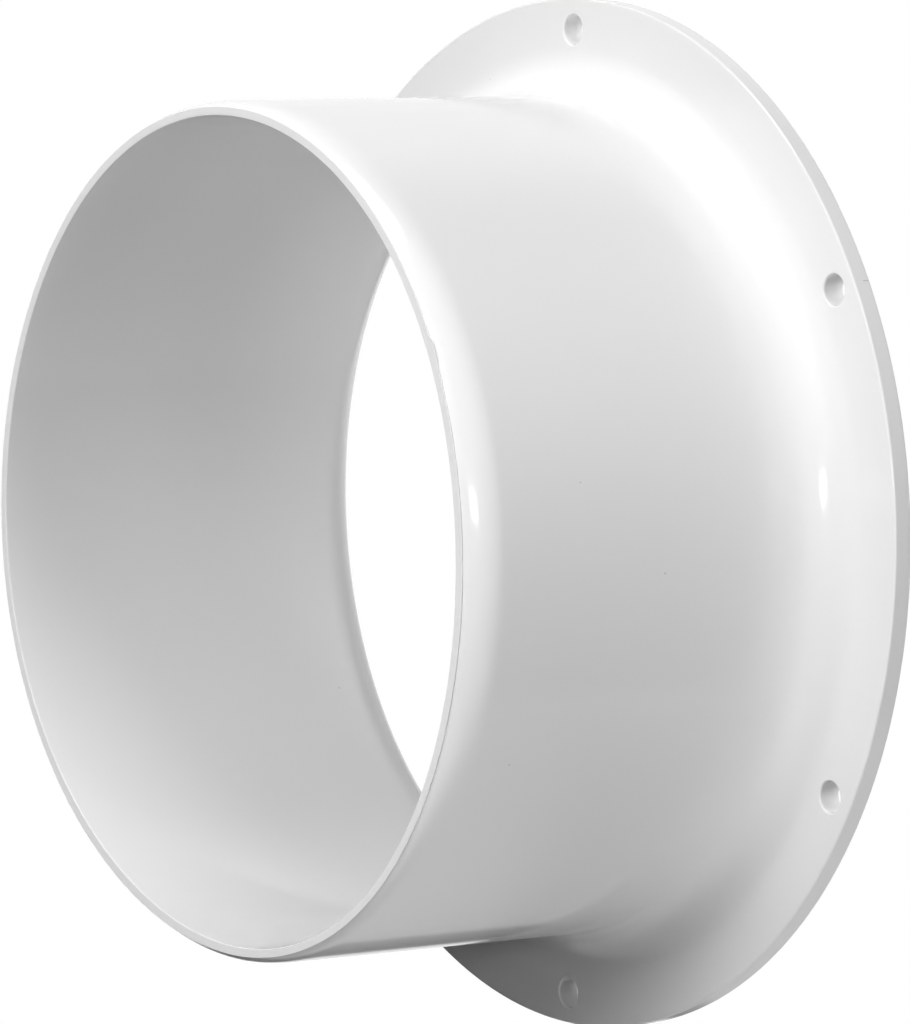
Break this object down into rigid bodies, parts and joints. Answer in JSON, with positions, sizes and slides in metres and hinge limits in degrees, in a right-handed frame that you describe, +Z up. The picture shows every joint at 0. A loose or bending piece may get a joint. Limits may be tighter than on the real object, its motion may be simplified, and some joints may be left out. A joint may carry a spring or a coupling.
{
  "type": "duct wall connector",
  "caption": "One-piece moulded collar that joins a round duct to a wall: a round spigot with a bell mouth on a flat screw flange.",
  "frame": {"origin": "centre of the flange's back face, on the duct axis, where the part meets the wall", "axes": "+Y along the duct axis into the wall, the spigot points to -Y, +Z up the wall with a screw hole straight above the axis"},
  "size_m": [0.184, 0.0783, 0.184],
  "materials": {
    "white_plastic": "glossy moulded white, smooth"
  },
  "bodies": {
    "root": {"wall_connector": "white_plastic"}
  },
  "joints": []
}
